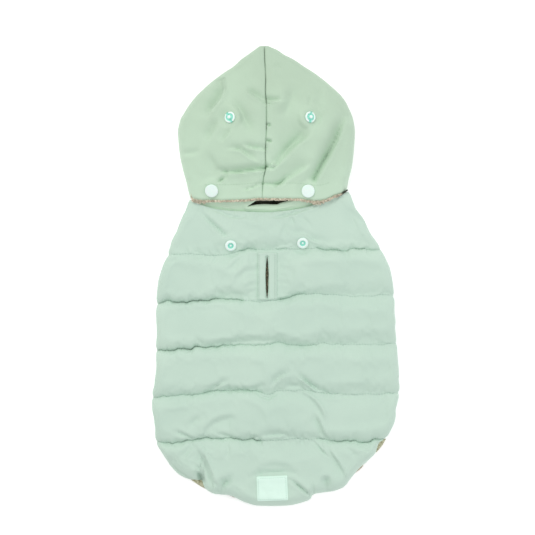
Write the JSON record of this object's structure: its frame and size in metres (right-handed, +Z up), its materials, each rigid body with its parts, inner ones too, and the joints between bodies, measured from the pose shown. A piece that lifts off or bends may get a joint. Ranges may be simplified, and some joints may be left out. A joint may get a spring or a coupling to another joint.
{
  "type": "hooded dog puffer jacket",
  "caption": "Sleeveless hooded dog jacket, laid flat with its back up: channel-quilted back, plain belly with leg holes, collar, snapped hood with a fleece lining, and a leash slit.",
  "frame": {"origin": "On the surface that the jacket lies on, under the middle of its outline.", "axes": "+Y runs from the tail to the tip of the hood, +X to the right as seen from above, +Z up from the surface."},
  "size_m": [0.2301, 0.4319, 0.0326],
  "materials": {
    "body_shell": "matt woven polyester, pale mint",
    "hood_shell": "matt woven polyester, pale green",
    "sherpa": "curly sherpa fleece, beige",
    "snap_plastic": "satin moulded plastic, pale aqua",
    "label_cloth": "smooth woven patch, pale aqua"
  },
  "bodies": {
    "root": {"back_panel": "body_shell", "belly_panel": "body_shell", "tail_lining": "sherpa", "hem_lining_left": "sherpa", "hem_lining_right": "sherpa", "collar": "hood_shell", "hood_left": "hood_shell", "hood_right": "hood_shell", "hood_lining": "sherpa", "leash_welt_left": "body_shell", "leash_welt_right": "body_shell", "hood_cap_left": "snap_plastic", "hood_cap_right": "snap_plastic", "hood_stud_left": "snap_plastic", "hood_stud_right": "snap_plastic", "yoke_socket_left": "snap_plastic", "yoke_socket_right": "snap_plastic", "label_patch": "label_cloth"}
  },
  "joints": []
}
